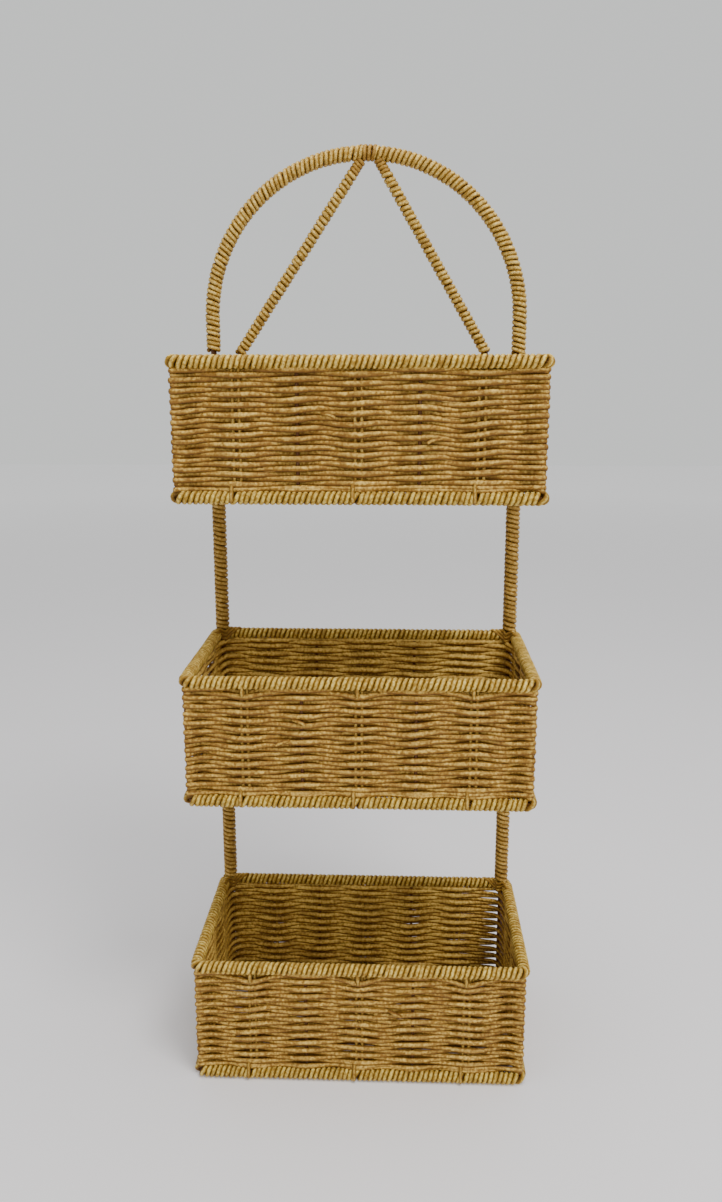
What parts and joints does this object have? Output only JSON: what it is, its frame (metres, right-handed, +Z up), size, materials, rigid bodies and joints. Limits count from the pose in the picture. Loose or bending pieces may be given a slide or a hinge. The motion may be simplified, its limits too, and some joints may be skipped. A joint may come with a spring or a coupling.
{
  "type": "rattan shower caddy",
  "caption": "Tall open-work caddy: woven paper-cord baskets stacked on a cord-wrapped steel hoop with a round arch handle and spread braces.",
  "frame": {"origin": "on the floor, under the middle of the rims' outline, which is the middle of the whole caddy", "axes": "+Z up to the arch, +X to the right seen from the front, -Y towards the front; the hoop stands at the back (+Y)"},
  "size_m": [0.304, 0.173, 0.826],
  "materials": {
    "wrap_cord": "twisted paper cord, satin",
    "hoop_cord": "twisted paper cord, satin",
    "weft_cord": "twisted paper cord, matt",
    "stake_cord": "twisted paper cord, matt",
    "binding_cord": "twisted paper cord, darker",
    "mat_cord": "woven paper cord, matt",
    "steel_wire": "dark brown lacquered steel wire"
  },
  "bodies": {
    "root": {"bottom_base_wire": "steel_wire", "bottom_base_wrap": "wrap_cord", "bottom_rim_wire": "steel_wire", "bottom_rim_wrap": "wrap_cord", "bottom_wire_cage": "steel_wire", "bottom_corner_stake_left": "steel_wire", "bottom_corner_stake_right": "steel_wire", "bottom_cord_stake_left": "stake_cord", "bottom_cord_stake_centre": "stake_cord", "bottom_cord_stake_right": "stake_cord", "bottom_weft_a": "weft_cord", "bottom_weft_b": "weft_cord", "bottom_floor_mat": "mat_cord", "bottom_rim_binding_left": "binding_cord", "bottom_rim_binding_right": "binding_cord", "middle_base_wire": "steel_wire", "middle_base_wrap": "wrap_cord", "middle_rim_wire": "steel_wire", "middle_rim_wrap": "wrap_cord", "middle_wire_cage": "steel_wire", "middle_corner_stake_left": "steel_wire", "middle_corner_stake_right": "steel_wire", "middle_cord_stake_left": "stake_cord", "middle_cord_stake_centre": "stake_cord", "middle_cord_stake_right": "stake_cord", "middle_weft_a": "weft_cord", "middle_weft_b": "weft_cord", "middle_floor_mat": "mat_cord", "middle_rim_binding_left": "binding_cord", "middle_rim_binding_right": "binding_cord", "top_base_wire": "steel_wire", "top_base_wrap": "wrap_cord", "top_rim_wire": "steel_wire", "top_rim_wrap": "wrap_cord", "top_wire_cage": "steel_wire", "top_corner_stake_left": "steel_wire", "top_corner_stake_right": "steel_wire", "top_cord_stake_left": "stake_cord", "top_cord_stake_centre": "stake_cord", "top_cord_stake_right": "stake_cord", "top_weft_a": "weft_cord", "top_weft_b": "weft_cord", "top_floor_mat": "mat_cord", "top_rim_binding_left": "binding_cord", "top_rim_binding_right": "binding_cord", "hoop_rod": "steel_wire", "arch_wrap_left": "hoop_cord", "lower_post_wrap_left": "hoop_cord", "upper_post_wrap_left": "hoop_cord", "brace_rod_left": "steel_wire", "brace_wrap_left": "hoop_cord", "arch_wrap_right": "hoop_cord", "lower_post_wrap_right": "hoop_cord", "upper_post_wrap_right": "hoop_cord", "brace_rod_right": "steel_wire", "brace_wrap_right": "hoop_cord", "apex_binding": "binding_cord"}
  },
  "joints": []
}
